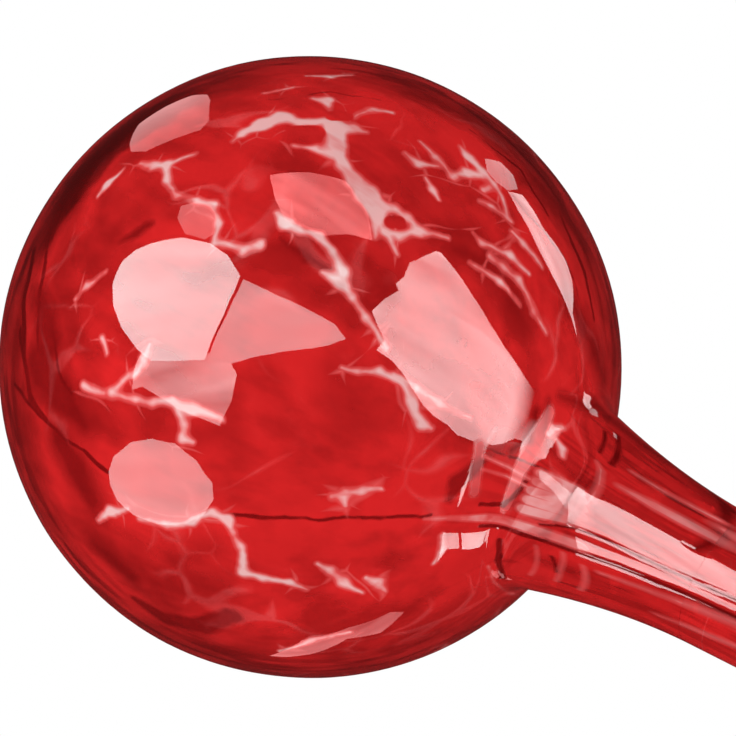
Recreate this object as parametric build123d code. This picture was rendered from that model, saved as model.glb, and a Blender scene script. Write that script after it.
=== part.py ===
from build123d import *

import math
import os

# A watering globe of hand-blown glass, standing as it is used, with its bulb on top and its stem down.
# Lengths are millimetres. The origin is the middle of the stem's open mouth, and +Z points up.
# Places on the neck are given as drops, that is how far they lie below the ring where neck and bulb meet.

# The bulb
bulb_radius = 38.0
bulb_wall = 2.0
globe_height = 305.0

# The neck flares out in a long hollow curve from the top of the stem and meets the bulb in a tight one
neck_radius = 12.4
neck_rounding = 4.0
flare_drop = 23.1
flare_radius = 8.3

# The stem tapers down to a straight end with an open mouth
stem_radius = 5.0
stem_end_length = 20.0
mouth_radius = 3.2
tube_wall = 0.85

# The hollow of the bulb narrows through a funnel in the neck to the bore of the stem
funnel_radius = 10.4
funnel_drop = 21.4

# Ribs that the jacks left inside the funnel
rib_first_drop = 6.4
rib_spacing = 3.9
rib_count = 3
rib_height = 0.5
rib_width = 2.2

# The lip that closes the end of the stem
lip_height = 2.5
lip_bevel = 0.6

# Slivers of darker colour drawn out along the sleeve, with flat backs, every second one set lower
streak_count = 6
streak_depth = 0.9
streak_width = 3.2
streak_length = 96.0
streak_gap = 7.0
streak_stagger = 14.0
streak_steps = 2

bulb_height = globe_height - bulb_radius


def under_bulb(bulb, radius):
    """The height at which the lower half of a ball round the bulb's middle has this radius."""
    return bulb_height - math.sqrt(bulb**2 - radius**2)


neck_height = under_bulb(bulb_radius, neck_radius)
flare_height = neck_height - flare_drop
tube_radius = mouth_radius + tube_wall


def outside():
    """The filled shape of bulb, neck and stem, from the mouth to the top of the bulb."""
    top = (0, globe_height)
    side = (bulb_radius, bulb_height)
    neck = (neck_radius, neck_height)
    flare = (flare_radius, flare_height)
    end = (stem_radius, stem_end_length)
    half = make_face(
        [
            ThreePointArc(top, side, neck),
            TangentArc(flare, neck, tangent=Vector(*flare) - Vector(*end)),
            Polyline(flare, end, (stem_radius, 0), (0, 0), top),
        ]
    )
    corner = half.vertices().sort_by_distance(neck)[0]
    return revolve(Plane.XZ * fillet(corner, neck_rounding), Axis.Z)


def air():
    """The hollow inside: a ball, a funnel pinched by its ribs, and the bore of the stem."""
    ball = bulb_radius - bulb_wall
    funnel_top = (funnel_radius, under_bulb(ball, funnel_radius))
    bore_top = (mouth_radius, neck_height - funnel_drop)
    top = (0, bulb_height + ball)
    half = make_face(
        [
            ThreePointArc(top, (ball, bulb_height), funnel_top),
            Polyline(funnel_top, bore_top, (mouth_radius, 0), (0, 0), top),
        ]
    )
    hollow = revolve(Plane.XZ * half, Axis.Z)
    return hollow - [rib(hollow, rib_first_drop + grip * rib_spacing) for grip in range(rib_count)]


def rib(hollow, drop):
    """A ring with a sharp crest, as wide as a rib where it stands out of the wall of the funnel."""
    height = neck_height - drop
    wall = section(hollow, section_by=Plane.XY.offset(height)).edges()[0].radius
    crest = wall - rib_height
    root = wall + rib_width
    spread = rib_width / 2 * (root - crest) / rib_height
    point = (crest, height)
    half = make_face(Polyline(point, (root, height + spread), (root, height - spread), point))
    return revolve(Plane.XZ * half, Axis.Z)


def above(shape, height):
    """What of a shape lies above a height."""
    return split(shape, Plane.XY.offset(height), keep=Keep.TOP)


def below(shape, height):
    """What of a shape lies below a height."""
    return split(shape, Plane.XY.offset(height), keep=Keep.BOTTOM)


def sleeve():
    """The outer glass of the stem, from the neck to the lip, round the inner tube."""
    tube = Cylinder(tube_radius, flare_height, align=(Align.CENTER, Align.CENTER, Align.MIN))
    return above(below(outside(), flare_height) - tube, lip_height)


def streaks(stem):
    """Slivers cut from the outside of the stem, widest in the middle and drawn out to both points."""
    slope = (flare_radius - stem_radius) / (flare_height - stem_end_length)
    slivers = []
    for number in range(streak_count):
        top = flare_height - streak_gap - streak_stagger * (number % streak_steps)
        middle = top - streak_length / 2
        surface = stem_radius + slope * (middle - stem_end_length)
        back = Plane((surface - streak_depth, 0, middle), x_dir=(0, 1, 0), z_dir=(1, 0, -slope))
        half_length = streak_length / 2
        half_width = streak_width / 2
        outline = Polyline(
            (0, -half_length), (half_width, 0), (0, half_length), (-half_width, 0), close=True
        )
        blade = extrude(back * make_face(outline), flare_radius)
        slivers += (stem & (Rot(0, 0, number * 360 / streak_count) * blade)).solids()
    return slivers


def glass():
    """Every mass of glass by its name, each as a list of solids."""
    whole = outside() - air()
    stem = sleeve()
    slivers = streaks(stem)
    lip = below(whole, lip_height)
    lip = chamfer(lip.edges().group_by(Axis.Z)[0], lip_bevel)
    return {
        "bulb": above(whole - stem, lip_height).solids(),
        "stem_sleeve": (stem - slivers).solids(),
        "colour_streaks": slivers,
        "mouth_lip": lip.solids(),
    }


os.makedirs("parts", exist_ok=True)
for name, solids in glass().items():
    export_step(Compound(children=solids), f"parts/{name}.step")
    print(name, len(solids), "solids,", round(sum(solid.volume for solid in solids)), "mm3")
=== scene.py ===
# %% [markdown]
# A watering globe is blown in one go from glass: a thin-walled bulb that holds the water, a neck, and a
# long thick stem that is pushed into the soil. This lesson dresses the measured model of one in glass.
# Everything is in metres, in the model's own frame: the stem's open mouth is at the origin and the bulb
# is on top.

import math

import bpy
from mathutils import Matrix, Vector
from mathutils.bvhtree import BVHTree
from mathutils.geometry import interpolate_bezier


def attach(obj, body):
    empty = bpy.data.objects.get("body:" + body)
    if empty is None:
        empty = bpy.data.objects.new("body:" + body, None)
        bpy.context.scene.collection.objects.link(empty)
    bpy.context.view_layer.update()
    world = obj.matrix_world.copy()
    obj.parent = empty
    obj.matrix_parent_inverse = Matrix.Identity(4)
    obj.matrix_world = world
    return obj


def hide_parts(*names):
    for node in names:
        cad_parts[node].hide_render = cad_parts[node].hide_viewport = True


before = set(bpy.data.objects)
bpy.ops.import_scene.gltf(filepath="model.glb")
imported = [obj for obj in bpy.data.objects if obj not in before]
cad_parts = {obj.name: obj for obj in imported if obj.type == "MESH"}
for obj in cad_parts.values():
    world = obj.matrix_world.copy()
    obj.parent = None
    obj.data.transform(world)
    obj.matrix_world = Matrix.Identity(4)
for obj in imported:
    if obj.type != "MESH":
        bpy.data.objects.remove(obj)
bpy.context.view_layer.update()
print("measured model:", sorted(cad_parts))

# %% [markdown]
# The camera comes first, because the reflections are placed through it later. The photograph looks at the
# globe from the stem's side, from 25 degrees below the bulb, and is rolled so that the stem points to the
# lower right. A camera's own axes are right, up and back, so they are worked out from those two angles.
# The bulb is 312 pixels in radius there, which fixes the lens once a distance is chosen.

# %% Place the camera
MM = 0.001
photo_size = 736
bulb_radius = 38 * MM
bulb_middle = Vector((0, 0, 267 * MM))
camera_distance = 475 * MM
camera_drop = math.radians(25)
stem_angle = math.radians(27.25)
bulb_radius_px = 312
bulb_middle_px = (310.5, 367)

back = Vector((0, -math.cos(camera_drop), -math.sin(camera_drop)))
level = Vector((1, 0, 0))
upright = back.cross(level)
roll = math.radians(90) - stem_angle
right = level * math.cos(roll) - upright * math.sin(roll)
up = level * math.sin(roll) + upright * math.cos(roll)
focal_px = bulb_radius_px * math.sqrt(camera_distance**2 - bulb_radius**2) / bulb_radius
aside = (bulb_middle_px[0] - photo_size / 2) / focal_px * camera_distance
above = (photo_size / 2 - bulb_middle_px[1]) / focal_px * camera_distance
eye = bulb_middle + back * camera_distance - right * aside - up * above

bpy.ops.object.camera_add(location=eye)
camera = bpy.context.object
camera.name = "camera"
camera.matrix_world = Matrix.Translation(eye) @ Matrix((right, up, back)).transposed().to_4x4()
camera.data.sensor_width = 36
camera.data.lens = focal_px * camera.data.sensor_width / photo_size
camera.data.clip_start = 10 * MM
bpy.context.scene.camera = camera
print("lens", round(camera.data.lens, 1), "mm, camera height", round(eye.z / MM, 1), "mm")


def through_pixel(x, y):
    """The direction from the camera through a pixel of the photograph."""
    offset = right * (x - photo_size / 2) + up * (photo_size / 2 - y)
    return (offset - back * focal_px).normalized()


# %% [markdown]
# Blown glass is round about its axis, so each piece is turned like a pot on a wheel: half of its outline
# is drawn, and Spin carries it round. The outline starts as a plane merged to one vertex, which is then
# extruded from point to point. Arcs of real radius keep the ball true, where a coarse cage under a
# Subdivision Surface would only come near it, and a cubic curve makes the hollow sweep of the neck.
# Outlines are in millimetres.

# %% Turn a piece from its outline
def arc(middle_height, radius, start, end, steps):
    """Points of an arc round a point of the axis. Angles are in degrees, from straight out."""
    turns = [math.radians(start + (end - start) * step / steps) for step in range(steps + 1)]
    return [(radius * math.cos(t), middle_height + radius * math.sin(t)) for t in turns]


def sweep(start, leave, arrive, end, steps):
    """Points of a cubic curve that leaves towards one handle and arrives from the other."""
    handles = [Vector((*point, 0)) for point in (start, leave, arrive, end)]
    return [(p.x, p.y) for p in interpolate_bezier(*handles, steps + 1)]


def turned(name, outline, around):
    """A closed piece, spun from its outline of (radius, height)."""
    bpy.ops.object.select_all(action="DESELECT")
    bpy.ops.mesh.primitive_plane_add(size=MM, location=(outline[0][0] * MM, 0, outline[0][1] * MM))
    piece = bpy.context.object
    piece.name = piece.data.name = name
    bpy.ops.object.mode_set(mode="EDIT")
    bpy.ops.mesh.merge(type="CENTER")
    for here, there in zip(outline, outline[1:]):
        step = ((there[0] - here[0]) * MM, 0, (there[1] - here[1]) * MM)
        bpy.ops.mesh.extrude_vertices_move(TRANSFORM_OT_translate={"value": step})
    bpy.ops.mesh.select_all(action="SELECT")
    bpy.ops.mesh.spin(steps=around, angle=math.tau, center=(0, 0, 0), axis=(0, 0, 1))
    bpy.ops.mesh.select_all(action="SELECT")
    bpy.ops.mesh.remove_doubles(threshold=0.002 * MM)
    bpy.ops.mesh.normals_make_consistent(inside=False)
    bpy.ops.object.mode_set(mode="OBJECT")
    bpy.ops.object.transform_apply(location=True, rotation=True, scale=True)
    bpy.ops.object.shade_smooth_by_angle(angle=math.radians(40))
    print(name, len(piece.data.polygons), "faces")
    return piece


# %% [markdown]
# The bulb is a wall of glass between two outlines. The outer one follows the ball, turns through the
# tight curve of the neck and runs down the long flare to the seam with the stem's outer glass. There it
# steps in to the inner tube, which runs on inside that glass down to the mouth. The inner one comes back
# up the bore, widens through the funnel, where the maker's jacks left ribs, and follows the ball again 2
# mm further in.

# %% Model the bulb
middle = 267
ball = 38.0
wall = 2.0
flare = (8.27, 208)
bore = 3.2
tube = 4.03
lip_height = 2.5
gap = 0.03


def on_ball(radius, out):
    """A point of the ball's lower half, and the direction in which its surface falls towards the axis."""
    drop = math.sqrt(radius**2 - out**2)
    return Vector((out, middle - drop)), Vector((-drop, -out)) / radius


neck_top, neck_fall = on_ball(ball, 14.4)
funnel_top, funnel_fall = on_ball(ball - wall, 12.5)
root = (11.5, 228.4)
outer = arc(middle, ball, 90, -math.degrees(math.acos(neck_top.x / ball)), 84)
outer += sweep(neck_top, neck_top + neck_fall * 2.0, (11.95, 230.1), root, 10)[1:]
outer += sweep(root, (10.1, 223.3), (8.5, 216), flare, 18)[1:]
inner_tube = [(tube, flare[1]), (tube, lip_height + gap), (bore, lip_height + gap)]
funnel = sweep((bore, 207), (5.2, 217), funnel_top + funnel_fall * 4.5, funnel_top, 60)
rib_heights = [225, 221.1, 217.2]
rib_height, rib_width = 0.2, 0.5
ribbed = []
for out, height in funnel:
    bulge = sum(math.exp(-(((height - rib) / rib_width) ** 2)) for rib in rib_heights)
    ribbed.append((out - rib_height * bulge, height))
inner = arc(middle, ball - wall, -math.degrees(math.acos(funnel_top.x / (ball - wall))), 90, 84)
bulb = turned("bulb_glass", outer + inner_tube + ribbed + inner[1:], 160)

# %% [markdown]
# A bulb blown by mouth is never a perfect ball. A Displace modifier with a soft cloud texture sinks its
# outside by up to a few tenths of a millimetre, only near the ball, so the reflections get wavy edges and
# the neck still fits the stem. It only sinks, so the glass stays inside the measured size.

# %% Give the bulb the waviness of blown glass
clouds = bpy.data.textures.new("blown_waves", "CLOUDS")
clouds.noise_scale = 16 * MM
clouds.noise_depth = 1
near_ball = bulb.vertex_groups.new(name="near_ball")
for vertex in bulb.data.vertices:
    height = vertex.co.z / MM
    share = min(1, max(0, (height - 228) / 16))
    if share > 0:
        near_ball.add([vertex.index], share, "REPLACE")
waves = bulb.modifiers.new("waves", "DISPLACE")
waves.texture = clouds
waves.vertex_group = near_ball.name
waves.strength = 0.2 * MM
waves.mid_level = 1
bpy.context.view_layer.objects.active = bulb
bpy.ops.object.modifier_apply(modifier="waves")
print("bulb wavy, box", [tuple(round(c, 4) for c in corner) for corner in bulb.bound_box][::6])

# %% [markdown]
# The stem's outer glass is a long tapered sleeve round the inner tube. It was drawn out of the hot
# gather, so its taper is slightly uneven. The last 20 mm are straight, and the lip that closes the end is
# rounded because it was melted in the flame. Where the pieces meet they stand a few hundredths of a
# millimetre apart, so that no two faces lie on each other.

# %% Model the stem's sleeve and the lip
stem_end = (5.0, 20)
taper_steps = 48
taper = []
for step in range(1, taper_steps + 1):
    share = step / taper_steps
    height = flare[1] - gap + (stem_end[1] - flare[1] + gap) * share
    unevenness = 0.06 * math.sin(7 * share) * math.sin(math.pi * share)
    taper.append((flare[0] + (stem_end[0] - flare[0]) * share - abs(unevenness), height))
sleeve_top = (flare[0], flare[1] - gap)
sleeve = [(tube + gap, flare[1] - gap), sleeve_top] + taper
sleeve += [(stem_end[0], lip_height + gap), (tube + gap, lip_height + gap), (tube + gap, flare[1] - gap)]
stem = turned("stem_glass", sleeve, 96)

lip_rim = sweep((stem_end[0], 1.3), (stem_end[0], -0.4), (bore, -0.4), (bore, 1.3), 20)
low = min(height for out, height in lip_rim)
lip_rim = [(out, height - low) for out, height in lip_rim]
lip_outline = [(bore, lip_height), (stem_end[0], lip_height)] + lip_rim + [(bore, lip_height)]
lip = turned("lip_glass", lip_outline, 96)

# %% [markdown]
# While it was soft, the neck was rolled on a flat steel table, and one side of it stayed a little flat.
# That is why the windows show on it as broad bands. The outer vertices there sink towards the axis, most
# in the middle of the flat and not at all 70 degrees to its sides, and the sinking fades out along the
# stem.

# %% Press one side of the neck flat
flat_azimuth = math.radians(-68)
flat_depth = 1.0
flat_reach = math.radians(70)
flat_top, flat_top_fade = 231, 8
flat_end, flat_end_fade = 60, 120
inner_tube_out = 4.5


def smooth(share):
    """A share from 0 to 1 that starts and ends gently."""
    share = min(1, max(0, share))
    return share * share * (3 - 2 * share)


def press_flat(piece):
    """Sinks the outer vertices of a piece on the flat side of the neck."""
    moved = 0
    for vertex in piece.data.vertices:
        place = vertex.co / MM
        out = Vector((place.x, place.y, 0))
        if out.length < inner_tube_out or vertex.normal.dot(out) <= 0:
            continue
        aside = abs((math.atan2(place.y, place.x) - flat_azimuth + math.pi) % math.tau - math.pi)
        depth = flat_depth * (0.5 + 0.5 * math.cos(math.pi * min(1, aside / flat_reach)))
        depth *= smooth((flat_top - place.z) / flat_top_fade)
        depth *= smooth((place.z - flat_end) / flat_end_fade)
        if depth > 0:
            vertex.co -= out.normalized() * depth * MM
            moved += 1
    print(piece.name, moved, "vertices pressed")


press_flat(bulb)
press_flat(stem)

# %% [markdown]
# Darker colour was laid on the hot stem in six short strips, which drawing it out turned into long
# slivers that end in points. One sliver is a ball, stretched and pressed flat, with the taper's lean, and
# the others are copies of it turned round the stem. They lie just under the surface, melted in.

# %% Model the slivers of dark colour
sliver_count = 6
sliver_top = 201
sliver_stagger = 14
sliver_length = 96
sliver_depth = 0.5
sliver_width = 3.0
sliver_sinks = 0.45
lean = math.atan2(flare[0] - stem_end[0], flare[1] - stem_end[1])
slivers = []
for number in range(sliver_count):
    top = sliver_top - sliver_stagger * (number % 2)
    height = top - sliver_length / 2
    surface = stem_end[0] + (flare[0] - stem_end[0]) * (height - stem_end[1]) / (flare[1] - stem_end[1])
    bpy.ops.object.select_all(action="DESELECT")
    bpy.ops.mesh.primitive_uv_sphere_add(segments=24, ring_count=48, radius=1)
    sliver = bpy.context.object
    sliver.name = f"sliver_{number}"
    for vertex in sliver.data.vertices:
        pinch = 1 - abs(vertex.co.z) ** 1.5
        vertex.co.x *= 0.3 + 0.7 * pinch
        vertex.co.y *= 0.2 + 0.8 * pinch
    sliver.scale = (sliver_depth / 2 * MM, sliver_width / 2 * MM, sliver_length / 2 * MM)
    bpy.ops.object.transform_apply(location=False, rotation=False, scale=True)
    for vertex in sliver.data.vertices:
        vertex.co.x -= vertex.co.y**2 / 2 / (surface * MM)
    sliver.rotation_euler = (0, lean, 0)
    sliver.location = ((surface - sliver_sinks) * MM, 0, height * MM)
    bpy.ops.object.transform_apply(location=True, rotation=True, scale=True)
    sliver.rotation_euler = (0, 0, math.tau * number / sliver_count)
    bpy.ops.object.transform_apply(location=True, rotation=True, scale=True)
    slivers.append(sliver)
bpy.ops.object.select_all(action="DESELECT")
for sliver in slivers:
    sliver.select_set(True)
bpy.context.view_layer.objects.active = slivers[0]
bpy.ops.object.join()
streaks = bpy.context.object
streaks.name = streaks.data.name = "colour_streaks_glass"
bpy.ops.object.shade_smooth()
print(streaks.name, len(streaks.data.polygons), "faces")

# %% [markdown]
# A material is a tree of nodes. The first helper adds one node, gives its sockets a value or a link, and
# returns it. The others do so for the nodes that come up most, so that each tree below reads like a list
# of what is done.

# %% Add shader nodes
def add(tree, kind, values=None, **settings):
    """A node of a tree, with its settings, and its sockets set to a value or linked to an output."""
    node = tree.nodes.new(kind)
    for name, value in settings.items():
        setattr(node, name, value)
    for name, value in (values or {}).items():
        if isinstance(value, bpy.types.NodeSocket):
            tree.links.new(value, node.inputs[name])
        else:
            node.inputs[name].default_value = value
    return node


def maths(tree, operation, first, second=0.0, clamp=False):
    """The result of a Math node."""
    return add(tree, "ShaderNodeMath", {0: first, 1: second}, operation=operation, use_clamp=clamp).outputs[0]


def vectors(tree, operation, first, second=None):
    """The result of a Vector Math node: a number for a dot product or a distance, and else a vector."""
    values = {0: first} if second is None else {0: first, 1: second}
    result = "Value" if operation in ("DOT_PRODUCT", "DISTANCE") else "Vector"
    return add(tree, "ShaderNodeVectorMath", values, operation=operation).outputs[result]


def scaled(tree, vector, factor):
    """A vector times a number."""
    values = {0: vector, "Scale": factor}
    return add(tree, "ShaderNodeVectorMath", values, operation="SCALE").outputs["Vector"]


def remap(tree, value, low, high, low_becomes=0.0, high_becomes=1.0):
    """A value carried from one range to another, and held inside it, by a Map Range node."""
    values = {0: value, 1: low, 2: high, 3: low_becomes, 4: high_becomes}
    return add(tree, "ShaderNodeMapRange", values).outputs[0]


def noise(tree, place, scale, detail, result="Fac"):
    """The grey of a Noise Texture, which runs about from 0.3 to 0.7, or its colour."""
    values = {"Vector": place, "Scale": scale, "Detail": detail}
    return add(tree, "ShaderNodeTexNoise", values).outputs[result]


def wandering(tree, place, scale, reach):
    """A push in a direction that changes over the surface, by up to about half a reach."""
    to_and_fro = vectors(tree, "SUBTRACT", noise(tree, place, scale, 2, "Color"), (0.5, 0.5, 0.5))
    return scaled(tree, to_and_fro, reach)


def mixed(tree, share, first, second):
    """A mix of two colours, each linked or given as red, green and blue."""
    values = {0: share}
    for socket, colour in ((6, first), (7, second)):
        values[socket] = (*colour, 1) if isinstance(colour, tuple) else colour
    return add(tree, "ShaderNodeMix", values, data_type="RGBA").outputs[2]


def blended(tree, share, first, second):
    """A mix of two shaders."""
    values = {0: share, 1: first.outputs[0], 2: second.outputs[0]}
    return add(tree, "ShaderNodeMixShader", values)


def stamped(tree, group, values):
    """A group placed in a tree, with its sockets set or linked."""
    return add(tree, "ShaderNodeGroup", values, node_tree=group)


def new_group(name, inputs, outputs):
    """An empty node group with its sockets, and the nodes that its inputs come from and its outputs go to."""
    tree = bpy.data.node_groups.new(name, "ShaderNodeTree")
    for socket, kind in inputs:
        tree.interface.new_socket(socket, in_out="INPUT", socket_type="NodeSocket" + kind)
    for socket, kind in outputs:
        tree.interface.new_socket(socket, in_out="OUTPUT", socket_type="NodeSocket" + kind)
    return tree, tree.nodes.new("NodeGroupInput").outputs, tree.nodes.new("NodeGroupOutput").inputs


def new_material(name):
    """An empty material, its tree and its output's surface socket."""
    material = bpy.data.materials.new(name)
    material.use_nodes = True
    tree = material.node_tree
    tree.nodes.clear()
    return material, tree, tree.nodes.new("ShaderNodeOutputMaterial").inputs["Surface"]


def principled(tree, surface, values):
    """Gives a material its surface: a Principled BSDF with these values."""
    tree.links.new(add(tree, "ShaderNodeBsdfPrincipled", values).outputs[0], surface)


def plain_material(name, values):
    """A material of one Principled BSDF."""
    material, tree, surface = new_material(name)
    principled(tree, surface, values)
    print(name, "made")
    return material


print("helpers for shader nodes are ready")


# %% [markdown]
# The chips and veins come out differently on each blown bulb. The side that the photograph shows is drawn
# here, from places that were read off the picture. So first a ray from the camera has to find the point of
# the glass that a pixel shows. The drawing is done on one true ball round the bulb's middle: each point is
# carried out to it in its own direction, so that the waves of the glass don't move the pattern.

# %% Find what a pixel of the photograph shows
px = bulb_radius / bulb_radius_px


def outer_faces():
    """The outsides of the bulb and the stem, to be met by rays from the camera."""
    points, faces = [], []
    for piece in (bulb, stem):
        first = len(points)
        points += [vertex.co.copy() for vertex in piece.data.vertices]
        for face in piece.data.polygons:
            core = Vector((0, 0, min(face.center.z, bulb_middle.z)))
            if (face.center - core).dot(face.normal) > 0:
                faces.append([first + corner for corner in face.vertices])
    return BVHTree.FromPolygons(points, faces)


outside = outer_faces()


def touched(x, y):
    """The point of the glass under a pixel, or the nearest one to its ray where that passes the glass."""
    ray = through_pixel(x, y)
    point = outside.ray_cast(eye, ray)[0]
    return point or eye + ray * (bulb_middle - eye).dot(ray)


def pinned(point):
    """The place on a true ball round the bulb's middle, in the same direction."""
    return (point - bulb_middle).normalized() * bulb_radius


print("one pixel is", round(px / MM, 3), "mm on the bulb")

# %% [markdown]
# A stroke of colour is a line between two points with a width at each end. This group works out how far a
# place lies outside it: Dot Product tells how far along the line the nearest point is, Mix finds that
# point, and Distance measures to it. Smooth Minimum lets the stroke melt into the strokes that were drawn
# before it. A group is made once and placed as often as it is needed, like a stamp.

# %% Make the group for one stroke
stroke, given, gives = new_group(
    "stroke",
    [("Place", "Vector"), ("Start", "Vector"), ("End", "Vector"), ("Along", "Vector"), ("Behind", "Float")]
    + [("Start Width", "Float"), ("End Width", "Float"), ("Others", "Float"), ("Melt", "Float")],
    [("Distance", "Float")],
)
done = vectors(stroke, "DOT_PRODUCT", given["Place"], given["Along"])
share = maths(stroke, "SUBTRACT", done, given["Behind"])
ends = {0: share, 4: given["Start"], 5: given["End"]}
foot = add(stroke, "ShaderNodeMix", ends, data_type="VECTOR").outputs[1]
off = vectors(stroke, "DISTANCE", given["Place"], foot)
widths = {0: share, 2: given["Start Width"], 3: given["End Width"]}
width = add(stroke, "ShaderNodeMix", widths, data_type="FLOAT").outputs[0]
edge = maths(stroke, "SUBTRACT", off, width)
union = add(stroke, "ShaderNodeMath", {0: edge, 1: given["Others"], 2: given["Melt"]}, operation="SMOOTH_MIN")
stroke.links.new(union.outputs[0], gives["Distance"])
print(stroke.name, "has", len(stroke.nodes), "nodes")

# %% [markdown]
# A vein is a chain of such strokes. Long ones are divided, because a straight line between two far points
# of a ball would dip below its surface. The chain gives a distance, which a Map Range turns into a mask
# with an edge as soft or as sharp as wanted.

# %% Draw chains of strokes on the glass
def parts_of(line, longest=45):
    """A line's pieces, none longer than a number of pixels, so that they follow the round glass."""
    for (x0, y0, w0), (x1, y1, w1) in zip(line, line[1:]):
        count = math.ceil(math.hypot(x1 - x0, y1 - y0) / longest)
        for step in range(count):
            a, b = step / count, (step + 1) / count
            yield [(x0 + (x1 - x0) * t, y0 + (y1 - y0) * t, w0 + (w1 - w0) * t) for t in (a, b)]


def draw(tree, place, lines, melt=1):
    """The distance from the nearest of some lines, each a list of pixels and widths there. They melt together
    where they come nearer to each other than a number of pixels."""
    nearest = 1.0
    for line in lines:
        for (x0, y0, w0), (x1, y1, w1) in parts_of(line):
            points = [touched(x0, y0), touched(x1, y1)]
            start, end = [pinned(point) for point in points]
            nearer = [bulb_radius / (point - bulb_middle).length for point in points]
            along = (end - start) / (end - start).length_squared
            values = {"Place": place, "Start": start, "End": end, "Along": along, "Behind": start.dot(along)}
            values |= {"Start Width": w0 / 2 * px * nearer[0], "End Width": w1 / 2 * px * nearer[1]}
            values |= {"Others": nearest, "Melt": melt * px}
            nearest = stamped(tree, stroke, values).outputs[0]
    return nearest


def shape_mask(tree, distance, soft, share=1.0):
    """A mask of drawn shapes from their distance, with edges as soft as a number of pixels."""
    return remap(tree, distance, soft / 2 * px, -soft / 2 * px, 0.0, share)


def on_true_ball(tree, place):
    """A place's direction from the bulb's middle, and the place on the true ball in that direction."""
    direction = vectors(tree, "NORMALIZE", vectors(tree, "SUBTRACT", place, tuple(bulb_middle)))
    return direction, scaled(tree, direction, bulb_radius)


print("a chain of 100 pixels is drawn in", len(list(parts_of([(0, 0, 1), (100, 0, 1)]))), "strokes")

# %% [markdown]
# These are the veins of bare, milky glass between the red chips, each point with the vein's width there.
# In a few wide veins a small red spot is left, where a crumb of colour melted in the middle of the vein.

# %% List the pale veins
pale_lines = [
    [(232, 141, 1), (242, 134, 7), (262, 125, 14), (281, 117, 16), (300, 124, 6), (318, 122, 4)],
    [(312, 98, 3), (327, 101, 10), (330, 110, 2)],
    [
        (298, 122, 3), (324, 121, 4), (334, 127, 18), (337, 146, 17), (343, 165, 12), (354, 182, 15),
        (368, 196, 22), (378, 210, 18), (374, 238, 2),
    ],
    [(334, 127, 12), (352, 128, 10), (366, 132, 4)],
    [(353, 117, 3), (372, 110, 4), (393, 113, 3)],
    [(294, 145, 2), (316, 148, 4), (330, 154, 8)],
    [(378, 208, 12), (395, 209, 4), (407, 217, 4), (420, 231, 5), (448, 238, 2)],
    [(381, 222, 4), (385, 233, 4), (400, 238, 3), (420, 231, 4)],
    [(385, 233, 4), (398, 254, 2)],
    [
        (278, 212, 4), (284, 222, 10), (300, 230, 4), (319, 236, 6), (333, 253, 6), (343, 271, 8),
        (341, 281, 5),
    ],
    [(322, 273, 2), (341, 281, 8), (352, 296, 3), (366, 318, 3), (386, 347, 5)],
    [(141, 164, 2), (154, 166, 6), (167, 165, 4), (196, 154, 2)],
    [(167, 165, 6), (167, 180, 5), (177, 196, 3), (196, 201, 4), (215, 203, 3)],
    [(214, 203, 3), (218, 222, 4), (214, 242, 3), (243, 249, 6), (261, 244, 8)],
    [(264, 93, 1), (292, 88, 2)],
    [(308, 76, 1), (330, 77, 3), (352, 75, 1)],
    [(405, 154, 3), (418, 164, 7), (437, 166, 1)],
    [(421, 141, 1), (434, 156, 4), (452, 177, 2), (467, 173, 8), (482, 176, 6)],
    [(459, 146, 1), (470, 157, 9), (483, 171, 6), (495, 185, 3), (509, 218, 2)],
    [(483, 190, 5), (490, 187, 3)],
    [(479, 201, 2), (491, 207, 2), (512, 221, 2)],
    [(426, 178, 1), (433, 190, 3), (439, 200, 1)],
    [(472, 233, 1), (482, 243, 3), (510, 256, 4), (530, 275, 2)],
    [(513, 233, 3), (523, 244, 4), (542, 267, 2)],
    [(491, 258, 6), (504, 268, 4), (519, 280, 5), (534, 313, 4), (546, 333, 2)],
    [
        (128, 375, 3), (112, 394, 6), (136, 401, 4), (152, 404, 3), (173, 401, 5), (190, 408, 10),
        (222, 420, 4),
    ],
    [(150, 345, 3), (144, 360, 6), (133, 375, 4)],
    [(178, 409, 6), (183, 424, 4), (182, 438, 6), (192, 442, 3)],
    [(84, 386, 8), (104, 394, 3)],
    [(97, 520, 3), (112, 512, 8), (128, 508, 3)],
    [
        (140, 518, 3), (165, 526, 5), (192, 522, 5), (212, 512, 4), (228, 520, 8), (240, 545, 4),
        (243, 572, 8), (262, 578, 5), (290, 582, 5), (306, 590, 2),
    ],
    [(318, 565, 3), (330, 572, 5), (345, 582, 8), (360, 592, 3)],
    [(333, 497, 4), (345, 492, 3), (360, 491, 4), (381, 488, 2)],
    [(343, 497, 6), (344, 506, 4)],
    [(368, 578, 3), (378, 582, 7), (384, 592, 2)],
    [(441, 535, 4), (443, 549, 5), (436, 561, 3)],
    [(98, 196, 2), (108, 183, 6), (124, 168, 2)],
    [(76, 300, 1), (88, 284, 3), (106, 272, 1)],
    [(101, 338, 4), (106, 352, 2)],
    [(280, 651, 2), (312, 640, 6), (350, 632, 3)],
    [(470, 262, 1), (500, 282, 3), (520, 305, 1)],
    [(395, 375, 1), (440, 402, 4), (470, 420, 2)],
    [
        (342, 368, 1), (358, 371, 3), (380, 371, 4), (400, 382, 4), (412, 401, 8), (422, 426, 8),
        (431, 428, 3),
    ],
]
red_spots = [
    [(296, 108, 17), (314, 110, 17)],
    [(333, 116, 15), (346, 116, 15)],
    [(296, 133, 22), (314, 133, 22)],
    [(391, 222, 13), (399, 222, 13)],
]
print(len(pale_lines), "pale veins,", len(red_spots), "red spots")
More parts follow.
